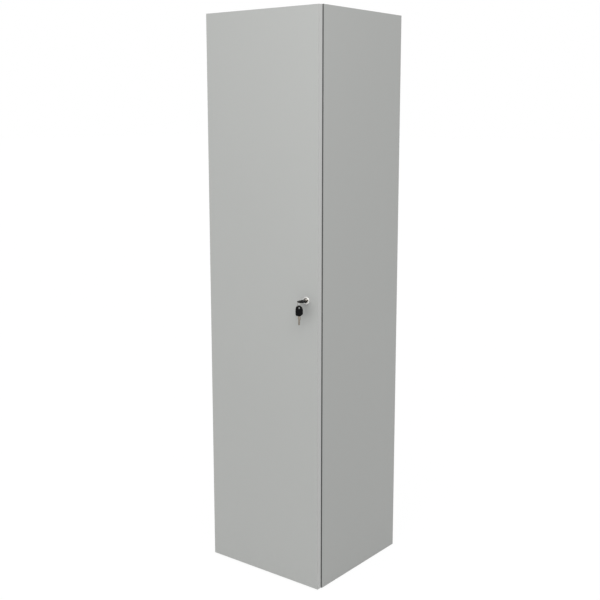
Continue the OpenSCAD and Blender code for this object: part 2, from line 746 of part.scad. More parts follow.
// Keys, in a frame with z along the key from its tip to its bow's end
module flat(t) { rotate([90, 0, 0]) translate([0, 0, -t / 2]) linear_extrude(t) children(); }
module blade() {
    cuts = [0.9, 1.7, 0.8, 1.4, 1.0];
    pitch = (blade_l - 6) / len(cuts);
    bitted = [for (i = [0 : len(cuts) - 1]) for (e = [0.3, 0.7])
        [3 - cuts[i], key_stop - 3 - (i + e) * pitch]];
    tip = key_stop - blade_l;
    difference() {
        flat(blade_t) {
            polygon(concat([[-3, key_stop + 1], [3, key_stop + 1], [3, key_stop - 2]], bitted,
                [[2, tip + 1.5], [0.5, tip], [-1.5, tip], [-3, tip + 1.5]]));
            translate([-shoulder_w / 2, key_stop]) square([shoulder_w, shoulder_l]);
        }
        for (s = [-1, 1]) translate([-mill_w - 0.4, s * blade_t / 2 - mill_depth, tip - 1])
            cube([mill_w, 2 * mill_depth, blade_l + 1]);
    }
    translate([-tang_w / 2, -tang_t / 2, bow_start - 1]) cube([tang_w, tang_t, tang_l + 1]);
}
// Edge-rounded disc of a bow, about the bow's middle plane
module bow_disc(x, v, r) {
    translate([x, 0, bow_start + v]) rotate([90, 0, 0]) {
        translate([0, 0, -bow_t / 2]) cylinder(r = r - bow_edge, h = bow_t, $fn = 32);
        translate([0, 0, bow_edge - bow_t / 2]) cylinder(r = r, h = bow_t - 2 * bow_edge, $fn = 32);
    }
}
module bow() {
    half = bow_w / 2;
    hole_r = hole_d / 2;
    hole_v = bow_l - rim_w - hole_r;
    difference() {
        hull() {
            bow_disc(0, bow_l - half, half);
            bow_disc(5 - half, 5, 5);
            bow_disc(half - 3, 9.5, 3);
            bow_disc(2.5, 3, 3);
        }
        translate([0, -bow_t, bow_start + hole_v]) rotate([-90, 0, 0]) cylinder(r = hole_r, h = 2 * bow_t);
        for (m = [0, 1]) mirror([0, m, 0]) translate([0, bow_t / 2 - hole_edge, bow_start + hole_v])
            rotate([-90, 0, 0]) cylinder(r1 = hole_r, r2 = hole_r + 2 * hole_edge, h = 2 * hole_edge);
        translate([-tang_w / 2 - 0.1, -tang_t / 2 - 0.1, bow_start - 1])
            cube([tang_w + 0.2, tang_t + 0.2, tang_l + 1.1]);
    }
}
module at_spare() {
    at_lock() translate([0, spare_z - bow_start - bow_l + rim_w, rim_out]) rotate([-90, 0, 0]) children();
}
module key_blade() { color(brass_grey) at_lock() blade(); }
module key_bow() { color(black) at_lock() bow(); }
module key_ring() {
    color(steel) at_lock() translate([0, ring_z, rim_out]) rotate([0, 90, 0])
        rotate_extrude($fn = 96) translate([ring_d / 2, 0]) circle(d = wire_d, $fn = 24);
}
module spare_key_blade() { color(brass_grey) at_spare() blade(); }
module spare_key_bow() { color(black) at_spare() bow(); }

left_side_panel();
right_side_panel();
top_panel();
bottom_panel();
back_panel();
carcass_edge_bands();
dowels();
cam_housings();
cam_bolts();
cam_caps();
floor_glides();
glide_nails();
hat_shelf();
shelf_edge_band();
shelf_pins();
coat_rail();
rail_sockets();
rail_screws();
hinge_plates();
plate_screws();
hinge_arms();
arm_screws();
arm_pins();
strike_plate();
strike_screws();
outer_links();
inner_links();
door_panel();
door_edge_bands();
hinge_cups();
cup_pins();
cup_screws();
door_bumpers();
lock_housing();
lock_rosette();
lock_screws();
lock_plug();
lock_cam();
cam_screw();
key_blade();
key_bow();
key_ring();
spare_key_blade();
spare_key_bow();
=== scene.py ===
# %% [markdown]
# # A single-door locker, dressed for rendering
#
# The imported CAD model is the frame. This script never moves it. It gives every CAD node a
# material with the detail the real one shows, replaces a few nodes with finer pieces, and sets
# up the camera, the lights and the floor. Lengths are in metres: +X is to the right, +Y to the
# back and +Z up, with the origin on the floor under the middle of the closed body.

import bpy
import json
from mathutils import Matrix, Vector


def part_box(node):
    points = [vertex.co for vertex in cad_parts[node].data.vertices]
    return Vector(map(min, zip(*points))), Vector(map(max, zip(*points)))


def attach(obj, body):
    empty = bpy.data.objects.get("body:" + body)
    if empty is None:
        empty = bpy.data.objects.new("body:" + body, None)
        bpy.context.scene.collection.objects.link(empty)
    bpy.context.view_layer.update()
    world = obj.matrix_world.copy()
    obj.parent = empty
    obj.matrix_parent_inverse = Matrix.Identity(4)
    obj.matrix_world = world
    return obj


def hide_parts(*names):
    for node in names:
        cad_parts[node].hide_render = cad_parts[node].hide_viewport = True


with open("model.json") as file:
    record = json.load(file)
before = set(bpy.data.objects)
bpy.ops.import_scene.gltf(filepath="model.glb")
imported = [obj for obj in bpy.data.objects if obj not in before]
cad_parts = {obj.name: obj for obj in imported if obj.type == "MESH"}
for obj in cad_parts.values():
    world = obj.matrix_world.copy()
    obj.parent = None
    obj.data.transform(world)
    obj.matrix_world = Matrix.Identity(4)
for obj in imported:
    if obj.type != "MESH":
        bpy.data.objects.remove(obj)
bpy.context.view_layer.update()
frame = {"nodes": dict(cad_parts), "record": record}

import json
import math

import bmesh
import bpy
from mathutils import Matrix, Vector

MM = 0.001
nodes = frame["nodes"]
scene = bpy.context.scene

# %% [markdown]
# ## The camera
#
# A tall object photographed from the front right, with the camera well above half height. The
# vertical edges stay almost upright in the picture, which asks for a nearly level camera and a
# frame that is moved down by lens shift. The other views keep the shift, and a large one would cut
# off the object's top there. So nearly all of the move is made by tilting the camera, and only a
# very small shift is left: the corners still fall within three pixels of the photograph's.

# %% Camera
PICTURE = 600
FOCAL_PIXELS = 974.3
AXIS_PIXEL = (303.8, 290.0)
CAMERA_PLACE = (1.973, -2.541, 1.493)
DEGREES_DOWN = 9.99
DEGREES_TURNED = 37.88

lens = bpy.data.cameras.new("camera")
lens.sensor_width = 36
lens.lens = FOCAL_PIXELS / PICTURE * lens.sensor_width
lens.shift_x = (PICTURE / 2 - AXIS_PIXEL[0]) / PICTURE
lens.shift_y = (AXIS_PIXEL[1] - PICTURE / 2) / PICTURE
camera = bpy.data.objects.new("camera", lens)
camera.location = CAMERA_PLACE
camera.rotation_euler = (math.radians(90 - DEGREES_DOWN), 0, math.radians(DEGREES_TURNED))
scene.collection.objects.link(camera)
scene.camera = camera
print("lens", round(lens.lens, 2), "shift", round(lens.shift_y, 4))

# %% [markdown]
# ## Small helpers for node trees
#
# A material, or the world, is a tree of nodes. These helpers add a node with its values and join
# two sockets, so that each tree below reads as a short list of what feeds what.

# %% Node helpers
def add(tree, kind, **values):
    """A new node. A value named in_NAME or in_NUMBER sets an input, any other an attribute."""
    node = tree.nodes.new(kind)
    for key, value in values.items():
        if key.startswith("in_"):
            name = key[3:]
            node.inputs[int(name) if name.isdigit() else name.replace("_", " ")].default_value = value
        else:
            setattr(node, key, value)
    return node


def join(tree, source, target):
    """Feeds one socket into another."""
    tree.links.new(source, target)


def ramp(tree, source, stops):
    """A colour ramp fed by a value; stops are (position, colour)."""
    node = add(tree, "ShaderNodeValToRGB")
    points = node.color_ramp.elements
    while len(points) < len(stops):
        points.new(0.5)
    for point, (place, colour) in zip(points, stops):
        point.position = place
        point.color = (*colour, 1)
    join(tree, source, node.inputs["Fac"])
    return node.outputs["Color"]


def seen_directly(tree):
    """A value that is 1 for what the camera or a mirror sees, and 0 for soft light."""
    path = add(tree, "ShaderNodeLightPath")
    either_ray = add(tree, "ShaderNodeMath", operation="MAXIMUM")
    join(tree, path.outputs["Is Camera Ray"], either_ray.inputs[0])
    join(tree, path.outputs["Is Glossy Ray"], either_ray.inputs[1])
    return either_ray.outputs[0]


def group(name, inputs, outputs):
    """A shader node group with named float or colour sockets; returns it with its two ends."""
    made = bpy.data.node_groups.new(name, "ShaderNodeTree")
    for label, kind, value in inputs:
        socket = made.interface.new_socket(name=label, in_out="INPUT", socket_type=kind)
        socket.default_value = value
    for label, kind in outputs:
        made.interface.new_socket(name=label, in_out="OUTPUT", socket_type=kind)
    return made, made.nodes.new("NodeGroupInput"), made.nodes.new("NodeGroupOutput")


FLOAT, COLOUR = "NodeSocketFloat", "NodeSocketColor"


def material(name, roughness, metallic=0.0, colour=(0.8, 0.8, 0.8)):
    """A material with its Principled shader; returns the material, its tree and the shader."""
    made = bpy.data.materials.new(name)
    made.use_nodes = True
    shader = made.node_tree.nodes["Principled BSDF"]
    shader.inputs["Base Color"].default_value = (*colour, 1)
    shader.inputs["Roughness"].default_value = roughness
    shader.inputs["Metallic"].default_value = metallic
    return made, made.node_tree, shader


def use(tree, made, **values):
    """A node group placed in a material, with its own values."""
    node = add(tree, "ShaderNodeGroup", node_tree=made)
    for key, value in values.items():
        node.inputs[key.replace("_", " ")].default_value = value
    return node


def bump(tree, shader, height, strength, distance):
    """A bump in the shader's normal, from a height; the distance is in metres."""
    node = add(tree, "ShaderNodeBump", in_Strength=strength, in_Distance=distance)
    join(tree, height, node.inputs["Height"])
    join(tree, node.outputs["Normal"], shader.inputs["Normal"])


def paint(made, *names):
    """Puts a material on CAD nodes, over all their slots."""
    for name in names:
        for slot in nodes[name].material_slots:
            slot.material = made
    print(made.name, "on", len(names), "nodes")


# %% [markdown]
# ## The studio
#
# The floor is pale and plain, and the light is soft. Most of it comes evenly from the world, as in
# a white tent. A wide panel high in front on the right makes both faces a little brighter at the
# top than at the foot, and a very wide sun from the front makes the door brighter than the side.
# The panel isn't seen by the camera, so it can't come into another view. The world is pure white to
# the camera and in mirrors, and gives less light than that, or the shadows would wash out.

# %% Sun, panel and world
WHITE = (1, 1, 1, 1)
WORLD_SEEN = 1.0
WORLD_GIVEN = 0.715
FLOOR_SIZE = 60


def sun(name, towards, spread, strength):
    """A sun that shines along a direction, with soft shadows from its spread in degrees."""
    data = bpy.data.lights.new(name, "SUN")
    data.energy = strength
    data.angle = math.radians(spread)
    sun_object = bpy.data.objects.new(name, data)
    sun_object.rotation_euler = Vector(towards).to_track_quat("-Z", "Y").to_euler()
    scene.collection.objects.link(sun_object)


def panel(name, place, aim, size, power):
    """A square soft panel at a place, aimed at a point and hidden from the camera."""
    data = bpy.data.lights.new(name, "AREA")
    data.size = size
    data.energy = power
    panel_object = bpy.data.objects.new(name, data)
    panel_object.location = place
    panel_object.rotation_euler = (Vector(aim) - Vector(place)).to_track_quat("-Z", "Y").to_euler()
    panel_object.visible_camera = False
    scene.collection.objects.link(panel_object)


sun("front", (0.0, 1.0, -0.2), 60, 0.77)
panel("high_right", (1.48, -1.85, 2.85), (0.0, 0.0, 1.2), 1.7, 30)

grid = bmesh.new()
bmesh.ops.create_grid(grid, x_segments=1, y_segments=1, size=FLOOR_SIZE)
floor_mesh = bpy.data.meshes.new("floor")
grid.to_mesh(floor_mesh)
grid.free()
floor = bpy.data.objects.new("floor", floor_mesh)
scene.collection.objects.link(floor)

world = bpy.data.worlds.new("studio")
scene.world = world
world.use_nodes = True
tree = world.node_tree
tree.nodes.clear()
given = add(tree, "ShaderNodeBackground", in_Color=WHITE, in_Strength=WORLD_GIVEN)
seen = add(tree, "ShaderNodeBackground", in_Color=WHITE, in_Strength=WORLD_SEEN)
either = add(tree, "ShaderNodeMixShader")
join(tree, seen_directly(tree), either.inputs["Fac"])
join(tree, given.outputs[0], either.inputs[1])
join(tree, seen.outputs[0], either.inputs[2])
join(tree, either.outputs[0], add(tree, "ShaderNodeOutputWorld").inputs["Surface"])
scene.view_settings.view_transform = "Standard"

# %% [markdown]
# ## Effects that several materials share
#
# Three groups are built once and used with their own values. The first is the pearl texture that
# is pressed into melamine film. The second is particle board as it shows in a bore or on a bare
# edge: flat chips of several browns, pressed together. The third is fine grain, which stands for
# the fine sparkle of plating and for the matt skin of moulded plastic.

# %% Pearl texture of the melamine film
pearl, ends_in, ends_out = group(
    "pearl_texture",
    [("Tone", COLOUR, (0.5, 0.5, 0.5, 1)), ("Pearl size", FLOAT, 900.0), ("Cloud", FLOAT, 0.03),
     ("Gloss", FLOAT, 0.42)],
    [("Color", COLOUR), ("Roughness", FLOAT), ("Height", FLOAT)])
place = add(pearl, "ShaderNodeTexCoord")
fine = add(pearl, "ShaderNodeTexNoise", in_Detail=3.0, in_Roughness=0.6)
join(pearl, place.outputs["Object"], fine.inputs["Vector"])
join(pearl, ends_in.outputs["Pearl size"], fine.inputs["Scale"])
broad = add(pearl, "ShaderNodeTexNoise", in_Scale=2.3, in_Detail=4.0, in_Roughness=0.55)
join(pearl, place.outputs["Object"], broad.inputs["Vector"])
cloud = add(pearl, "ShaderNodeMath", operation="MULTIPLY_ADD", in_2=1.0)
centred = add(pearl, "ShaderNodeMath", operation="SUBTRACT", in_1=0.5)
join(pearl, broad.outputs["Fac"], centred.inputs[0])
join(pearl, centred.outputs[0], cloud.inputs[0])
join(pearl, ends_in.outputs["Cloud"], cloud.inputs[1])
grain = add(pearl, "ShaderNodeMapRange", in_From_Min=0.3, in_From_Max=0.7, in_To_Min=0.985, in_To_Max=1.015)
join(pearl, fine.outputs["Fac"], grain.inputs["Value"])
both = add(pearl, "ShaderNodeMath", operation="MULTIPLY")
join(pearl, cloud.outputs[0], both.inputs[0])
join(pearl, grain.outputs[0], both.inputs[1])
toned = add(pearl, "ShaderNodeVectorMath", operation="SCALE")
join(pearl, ends_in.outputs["Tone"], toned.inputs[0])
join(pearl, both.outputs[0], toned.inputs["Scale"])
join(pearl, toned.outputs[0], ends_out.inputs["Color"])
matt = add(pearl, "ShaderNodeMath", operation="MULTIPLY")
join(pearl, ends_in.outputs["Gloss"], matt.inputs[0])
spread = add(pearl, "ShaderNodeMapRange", in_From_Min=0.3, in_From_Max=0.7, in_To_Min=0.92, in_To_Max=1.1)
join(pearl, broad.outputs["Fac"], spread.inputs["Value"])
join(pearl, spread.outputs[0], matt.inputs[1])
join(pearl, matt.outputs[0], ends_out.inputs["Roughness"])
join(pearl, fine.outputs["Fac"], ends_out.inputs["Height"])
print("pearl nodes:", len(pearl.nodes))

# %% Chips of bare particle board
chips, ends_in, ends_out = group(
    "particle_board", [("Chip size", FLOAT, 420.0)], [("Color", COLOUR), ("Height", FLOAT)])
place = add(chips, "ShaderNodeTexCoord")
cells = add(chips, "ShaderNodeTexVoronoi", feature="F1", in_Randomness=1.0)
join(chips, place.outputs["Object"], cells.inputs["Vector"])
join(chips, ends_in.outputs["Chip size"], cells.inputs["Scale"])
dust = add(chips, "ShaderNodeTexNoise", in_Scale=1500.0, in_Detail=2.0)
join(chips, place.outputs["Object"], dust.inputs["Vector"])
apart = add(chips, "ShaderNodeSeparateColor")
join(chips, cells.outputs["Color"], apart.inputs[0])
tint = ramp(chips, apart.outputs[0], [(0.0, (0.16, 0.09, 0.045)), (0.2, (0.33, 0.21, 0.11)),
                                      (0.7, (0.47, 0.33, 0.19)), (1.0, (0.6, 0.45, 0.28))])
shade = add(chips, "ShaderNodeMapRange", in_From_Min=0.2, in_From_Max=0.8, in_To_Min=0.8, in_To_Max=1.15)
join(chips, dust.outputs["Fac"], shade.inputs["Value"])
dusty = add(chips, "ShaderNodeVectorMath", operation="SCALE")
join(chips, tint, dusty.inputs[0])
join(chips, shade.outputs[0], dusty.inputs["Scale"])
join(chips, dusty.outputs[0], ends_out.inputs["Color"])
join(chips, cells.outputs["Distance"], ends_out.inputs["Height"])
print("chip nodes:", len(chips.nodes))

# %% Fine grain of plating and of moulded plastic
grains, ends_in, ends_out = group(
    "fine_grain",
    [("Tone", COLOUR, (0.5, 0.5, 0.5, 1)), ("Grain size", FLOAT, 3000.0), ("Contrast", FLOAT, 0.1),
     ("Low gloss", FLOAT, 0.3), ("High gloss", FLOAT, 0.45)],
    [("Color", COLOUR), ("Roughness", FLOAT), ("Height", FLOAT)])
place = add(grains, "ShaderNodeTexCoord")
speck = add(grains, "ShaderNodeTexNoise", in_Detail=2.0, in_Roughness=0.7)
join(grains, place.outputs["Object"], speck.inputs["Vector"])
join(grains, ends_in.outputs["Grain size"], speck.inputs["Scale"])
handled = add(grains, "ShaderNodeTexNoise", in_Scale=160.0, in_Detail=3.0, in_Roughness=0.6)
join(grains, place.outputs["Object"], handled.inputs["Vector"])
rub = add(grains, "ShaderNodeMapRange", in_From_Min=0.3, in_From_Max=0.7)
join(grains, handled.outputs["Fac"], rub.inputs["Value"])
join(grains, ends_in.outputs["Low gloss"], rub.inputs["To Min"])
join(grains, ends_in.outputs["High gloss"], rub.inputs["To Max"])
join(grains, rub.outputs[0], ends_out.inputs["Roughness"])
middle = add(grains, "ShaderNodeMath", operation="SUBTRACT", in_1=0.5)
join(grains, speck.outputs["Fac"], middle.inputs[0])
scaled = add(grains, "ShaderNodeMath", operation="MULTIPLY_ADD", in_2=1.0)
join(grains, middle.outputs[0], scaled.inputs[0])
join(grains, ends_in.outputs["Contrast"], scaled.inputs[1])
tinted = add(grains, "ShaderNodeVectorMath", operation="SCALE")
join(grains, ends_in.outputs["Tone"], tinted.inputs[0])
join(grains, scaled.outputs[0], tinted.inputs["Scale"])
join(grains, tinted.outputs[0], ends_out.inputs["Color"])
join(grains, speck.outputs["Fac"], ends_out.inputs["Height"])
print("grain nodes:", len(grains.nodes))

# %% [markdown]
# ## Boards
#
# A board is covered with film on its two large faces only. Its bores and the edges that carry no
# band show the chips inside. The mesh already says which is which: on a large face the normal
# lies along the board's thickness. So one material per direction of thickness mixes film and
# chips by the normal, and no face has to be picked by hand. An edge that has a band glued on is
# named by its plane and counts as film, or a hairline of chips would show along the glue line.

# %% Board materials
BOARD_GREY = (0.425, 0.433, 0.421)
NEAR_BAND = 0.3 * MM


def board(name, axis, banded=()):
    """Film on the faces across an axis and on the banded planes, chips everywhere else."""
    made, tree, shader = material(name, 0.42)
    film = use(tree, pearl, Tone=(*BOARD_GREY, 1), Pearl_size=1100.0, Cloud=0.035, Gloss=0.43)
    core = use(tree, chips, Chip_size=430.0)
    place = add(tree, "ShaderNodeTexCoord")
    parts = add(tree, "ShaderNodeSeparateXYZ")
    join(tree, place.outputs["Normal"], parts.inputs[0])
    size = add(tree, "ShaderNodeMath", operation="ABSOLUTE")
    join(tree, parts.outputs[axis], size.inputs[0])
    bare = add(tree, "ShaderNodeMath", operation="LESS_THAN", in_1=0.6)
    join(tree, size.outputs[0], bare.inputs[0])
    where = add(tree, "ShaderNodeSeparateXYZ")
    join(tree, place.outputs["Object"], where.inputs[0])
    for direction, plane in banded:
        off = add(tree, "ShaderNodeMath", operation="SUBTRACT", in_1=plane)
        join(tree, where.outputs[direction], off.inputs[0])
        distance = add(tree, "ShaderNodeMath", operation="ABSOLUTE")
        join(tree, off.outputs[0], distance.inputs[0])
        beyond = add(tree, "ShaderNodeMath", operation="GREATER_THAN", in_1=NEAR_BAND)
        join(tree, distance.outputs[0], beyond.inputs[0])
        still_bare = add(tree, "ShaderNodeMath", operation="MULTIPLY")
        join(tree, bare.outputs[0], still_bare.inputs[0])
        join(tree, beyond.outputs[0], still_bare.inputs[1])
        bare = still_bare
    mix = add(tree, "ShaderNodeMix", data_type="RGBA")
    join(tree, bare.outputs[0], mix.inputs["Factor"])
    join(tree, film.outputs["Color"], mix.inputs["A"])
    join(tree, core.outputs["Color"], mix.inputs["B"])
    join(tree, mix.outputs["Result"], shader.inputs["Base Color"])
    gloss = add(tree, "ShaderNodeMix")
    join(tree, bare.outputs[0], gloss.inputs["Factor"])
    join(tree, film.outputs["Roughness"], gloss.inputs["A"])
    gloss.inputs["B"].default_value = 0.85
    join(tree, gloss.outputs["Result"], shader.inputs["Roughness"])
    relief = add(tree, "ShaderNodeMix")
    join(tree, bare.outputs[0], relief.inputs["Factor"])
    join(tree, film.outputs["Height"], relief.inputs["A"])
    join(tree, core.outputs["Height"], relief.inputs["B"])
    bump(tree, shader, relief.outputs["Result"], 0.12, 0.0004)
    return made


side_low, side_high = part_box("left_side_panel")
door_low, door_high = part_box("door_panel")
shelf_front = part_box("hat_shelf")[0].y
side_bands = [("Y", side_low.y), ("Z", side_high.z)]
level_bands = [("Y", side_low.y), ("Y", shelf_front)]
door_bands = [("X", door_low.x), ("X", door_high.x), ("Z", door_low.z), ("Z", door_high.z)]
paint(board("melamine_side", "X", side_bands), "left_side_panel", "right_side_panel")
paint(board("melamine_level", "Z", level_bands), "top_panel", "bottom_panel", "hat_shelf")
paint(board("melamine_door", "Y", door_bands), "door_panel")
paint(board("melamine_back", "Y"), "back_panel")

# %% [markdown]
# ## Edge bands and caps
#
# The band is a strip of plastic in the board's grey, a touch smoother than the film. The door's band is a
# lighter grey: a painted highlight along the door's edges.

# %% Band material
def banding(name, tone):
    """The plastic of an edge band in one tone."""
    made, tree, shader = material(name, 0.38)
    strip = use(tree, pearl, Tone=(*tone, 1), Pearl_size=2200.0, Cloud=0.03, Gloss=0.36)
    join(tree, strip.outputs["Color"], shader.inputs["Base Color"])
    join(tree, strip.outputs["Roughness"], shader.inputs["Roughness"])
    bump(tree, shader, strip.outputs["Height"], 0.08, 0.0002)
    return made


# Lighter grey than the other bands: a painted highlight along the door's edges.
door_band_painted_light = banding("door_edge_band", (0.53, 0.535, 0.525))
band = banding("edge_band", (0.40, 0.408, 0.396))
# Dark grey: painted shade for the thin dark line in the gap between the door and the side.
front_band_painted_shade = banding("front_edge_band_painted_shade", (0.13, 0.132, 0.129))
paint(door_band_painted_light, "door_edge_bands")
paint(band, "carcass_edge_bands", "shelf_edge_band", "cam_caps")

# %% [markdown]
# ## Metals, plastics and beech
#
# Zinc-plated steel is dull and slightly blue, nickel plating is bright, and the lock's metal is a
# warm grey with the fine marks of handling. The rosette is satin nickel: with a sharper gloss the
# black key would be mirrored in it. The black plastic of the key bows has a matt skin.

# %% Metals and plastics
def grained(name, tone, metallic, size, contrast, gloss, relief):
    """A plated or moulded surface; gloss holds the lowest and the highest roughness."""
    made, tree, shader = material(name, gloss[0], metallic)
    skin = use(tree, grains, Tone=(*tone, 1), Grain_size=size, Contrast=contrast, Low_gloss=gloss[0],
               High_gloss=gloss[1])
    join(tree, skin.outputs["Color"], shader.inputs["Base Color"])
    join(tree, skin.outputs["Roughness"], shader.inputs["Roughness"])
    bump(tree, shader, skin.outputs["Height"], relief, 0.0001)
    return made


zinc = grained("zinc_plate", (0.52, 0.54, 0.57), 1.0, 2600.0, 0.12, (0.28, 0.42), 0.12)
nickel = grained("nickel_plate", (0.86, 0.85, 0.83), 1.0, 1800.0, 0.05, (0.08, 0.16), 0.03)
rosette_nickel = grained("rosette_nickel", (0.94, 0.93, 0.91), 1.0, 1800.0, 0.04, (0.28, 0.36), 0.03)
lock_metal = grained("lock_metal", (0.27, 0.24, 0.20), 1.0, 2600.0, 0.2, (0.26, 0.42), 0.10)
plug_metal = grained("plug_metal", (0.72, 0.69, 0.64), 1.0, 2600.0, 0.15, (0.18, 0.30), 0.08)
ring_steel = grained("ring_steel", (0.24, 0.22, 0.19), 1.0, 2600.0, 0.15, (0.22, 0.36), 0.08)
black_plastic = grained("black_plastic", (0.0075, 0.0075, 0.008), 0.0, 2200.0, 0.3, (0.40, 0.55), 0.35)
black_plastic.node_tree.nodes["Principled BSDF"].inputs["Specular IOR Level"].default_value = 0.02
clear_rubber = grained("clear_rubber", (0.72, 0.74, 0.74), 0.0, 1500.0, 0.05, (0.2, 0.32), 0.08)

paint(zinc, "cam_housings", "cam_bolts", "glide_nails", "shelf_pins", "rail_screws", "hinge_plates",
      "plate_screws", "arm_screws", "strike_plate", "strike_screws", "cup_pins", "cup_screws",
      "lock_housing", "lock_screws", "lock_cam", "cam_screw")
paint(ring_steel, "key_ring")
paint(nickel, "coat_rail", "rail_sockets", "hinge_arms", "arm_pins", "outer_links", "inner_links",
      "hinge_cups", "lock_rosette")
paint(lock_metal, "lock_plug", "key_blade", "spare_key_blade")
paint(black_plastic, "floor_glides", "key_bow", "spare_key_bow")
paint(clear_rubber, "door_bumpers")

# %% Beech dowels
beech, tree, shader = material("beech", 0.6)
place = add(tree, "ShaderNodeTexCoord")
along = add(tree, "ShaderNodeMapping")
along.inputs["Scale"].default_value = (40, 600, 600)
join(tree, place.outputs["Object"], along.inputs["Vector"])
fibre = add(tree, "ShaderNodeTexNoise", in_Scale=1.0, in_Detail=3.0)
join(tree, along.outputs[0], fibre.inputs["Vector"])
join(tree, ramp(tree, fibre.outputs["Fac"], [(0.3, (0.42, 0.27, 0.15)), (0.7, (0.62, 0.45, 0.28))]),
     shader.inputs["Base Color"])
bump(tree, shader, fibre.outputs["Fac"], 0.2, 0.0002)
paint(beech, "dowels")

# %% [markdown]
# ## Turning a CAD node into a finer piece
#
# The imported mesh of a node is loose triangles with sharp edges. Real sheet metal, die-cast zinc
# and moulded plastic never have a perfectly sharp edge, and the light line along a rounded edge is
# what makes a small part look real. A Bevel modifier could do this, but on loose triangles it
# finds no edges to round. So a copy of the mesh is joined up first: equal corners are merged and
# flat faces made whole, and then only the edges that really turn are bevelled.

# %% Rounding the edges of a copy
SAME_POINT = 0.003 * MM
SAME_PLANE = math.radians(0.6)
FLAT_RIM = 1.1 * MM
BOW_SUNK = 0.22 * MM


def joined(node):
    """A copy of a CAD node's mesh with shared corners and whole flat faces."""
    shape = bmesh.new()
    shape.from_mesh(nodes[node].data)
    bmesh.ops.remove_doubles(shape, verts=shape.verts, dist=SAME_POINT)
    bmesh.ops.dissolve_limit(shape, angle_limit=SAME_PLANE, verts=shape.verts, edges=shape.edges)
    return shape


def round_edges(shape, radius, turn=28, segments=2):
    """Bevels the edges where the surface turns by more than an angle in degrees."""
    bmesh.ops.recalc_face_normals(shape, faces=shape.faces)
    sharp = [e for e in shape.edges if e.is_manifold and e.calc_face_angle() > math.radians(turn)]
    bmesh.ops.bevel(shape, geom=sharp, offset=radius, offset_type="OFFSET", segments=segments, profile=0.5,
                    affect="EDGES", material=-1, clamp_overlap=True)
    return len(sharp)


def piece_of(shape, name, made, body, stands_for=(), smooth=35):
    """A finished piece from a bmesh: it rides on a body, has a slot and stands for CAD nodes."""
    mesh = bpy.data.meshes.new(name)
    bmesh.ops.recalc_face_normals(shape, faces=shape.faces)
    shape.to_mesh(mesh)
    shape.free()
    mesh.shade_smooth()
    mesh.set_sharp_from_angle(angle=math.radians(smooth))
    mesh.materials.append(made)
    piece = bpy.data.objects.new(name, mesh)
    scene.collection.objects.link(piece)
    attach(piece, body)
    if stands_for:
        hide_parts(*stands_for)
    return piece


def sink_flats(shape, rim, depth):
    """Sinks the two flat faces of a thin part a little, inside a rim of even width."""
    spans = [max(v.co[i] for v in shape.verts) - min(v.co[i] for v in shape.verts) for i in range(3)]
    thin = spans.index(min(spans))
    shape.normal_update()
    for way in (-1, 1):
        end = max(way * v.co[thin] for v in shape.verts)
        flat = [f for f in shape.faces if f.normal[thin] * way > 0.99
                and abs(way * f.calc_center_median()[thin] - end) < 0.01 * MM]
        bmesh.ops.inset_region(shape, faces=flat, thickness=rim, depth=-depth, use_even_offset=True,
                               use_boundary=True)
        print("sunk faces", len(flat))


def soften(node, radius, made, sunk=0.0):
    """A copy of one CAD node with edges rounded by millimetres; its flat faces may be sunk."""
    shape = joined(node)
    before = len(shape.faces)
    edges = round_edges(shape, radius * MM)
    if sunk:
        sink_flats(shape, FLAT_RIM, sunk)
    faces = len(shape.faces)
    piece_of(shape, "rounded_" + node, made, body_of[node], (node,))
    print(node, "faces", before, "->", faces, "edges rounded", edges)


bodies = frame["record"]["behaviour"]["bodies"]
body_of = {node: body for body, members in bodies.items() for node in members}
for node, radius in [("hinge_plates", 0.35), ("strike_plate", 0.35), ("lock_cam", 0.3),
                     ("lock_housing", 0.25), ("plate_screws", 0.12), ("arm_screws", 0.12),
                     ("cup_screws", 0.12), ("cam_screw", 0.12)]:
    soften(node, radius, zinc)
for node, radius in [("hinge_arms", 0.25), ("outer_links", 0.2), ("inner_links", 0.25),
                     ("hinge_cups", 0.25)]:
    soften(node, radius, nickel)
for node in ("key_blade", "spare_key_blade"):
    soften(node, 0.15, lock_metal)
soften("lock_plug", 0.15, plug_metal)
for node in ("key_bow", "spare_key_bow"):
    soften(node, 0.3, black_plastic, sunk=BOW_SUNK)
soften("floor_glides", 0.4, black_plastic)

# %% [markdown]
# ## Edge bands
#
# A band is one or two millimetres of plastic, glued on and trimmed with a small radius, so the
# door's outline is never razor sharp. The imported bands are plain strips. The door's band is made
# here as one closed frame: a box is inset on its front and back, the inner faces are taken out,
# the two openings are bridged, and the outer edges are bevelled. The strips of the carcass only
# need the edges of their outward face rounded. Its front strips are a dark grey, painted shade
# that draws the thin dark line in the gap between the door and the side.

# %% The door's band
DOOR_BAND_ROUND = 0.7 * MM


def box_shape(shape, low, high):
    """A box between two corners, added to a bmesh; returns its vertices."""
    made = bmesh.ops.create_cube(shape, size=1)["verts"]
    fit = Matrix.Translation((low + high) / 2) @ Matrix.Diagonal((*(high - low), 1))
    bmesh.ops.transform(shape, matrix=fit, verts=made)
    return made


low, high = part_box("door_edge_bands")
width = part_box("door_panel")[0].x - low.x
shape = bmesh.new()
corners = set(box_shape(shape, low, high))
shape.normal_update()
faces = [f for f in shape.faces if abs(f.normal.y) > 0.9]
bmesh.ops.inset_region(shape, faces=faces, thickness=width, use_even_offset=True)
bmesh.ops.delete(shape, geom=faces, context="FACES")
bmesh.ops.bridge_loops(shape, edges=[e for e in shape.edges if e.is_boundary])
outline = [e for e in shape.edges if set(e.verts) <= corners]
bmesh.ops.bevel(shape, geom=outline, offset=DOOR_BAND_ROUND, offset_type="OFFSET", segments=3, profile=0.5,
                affect="EDGES", material=-1, clamp_overlap=True)
print("door band faces", len(shape.faces), "width mm", round(width / MM, 2))
piece_of(shape, "door_band_painted_light", door_band_painted_light, "door", ("door_edge_bands",), smooth=60)

# %% The strips of the carcass
STRIP_ROUND = 0.4 * MM


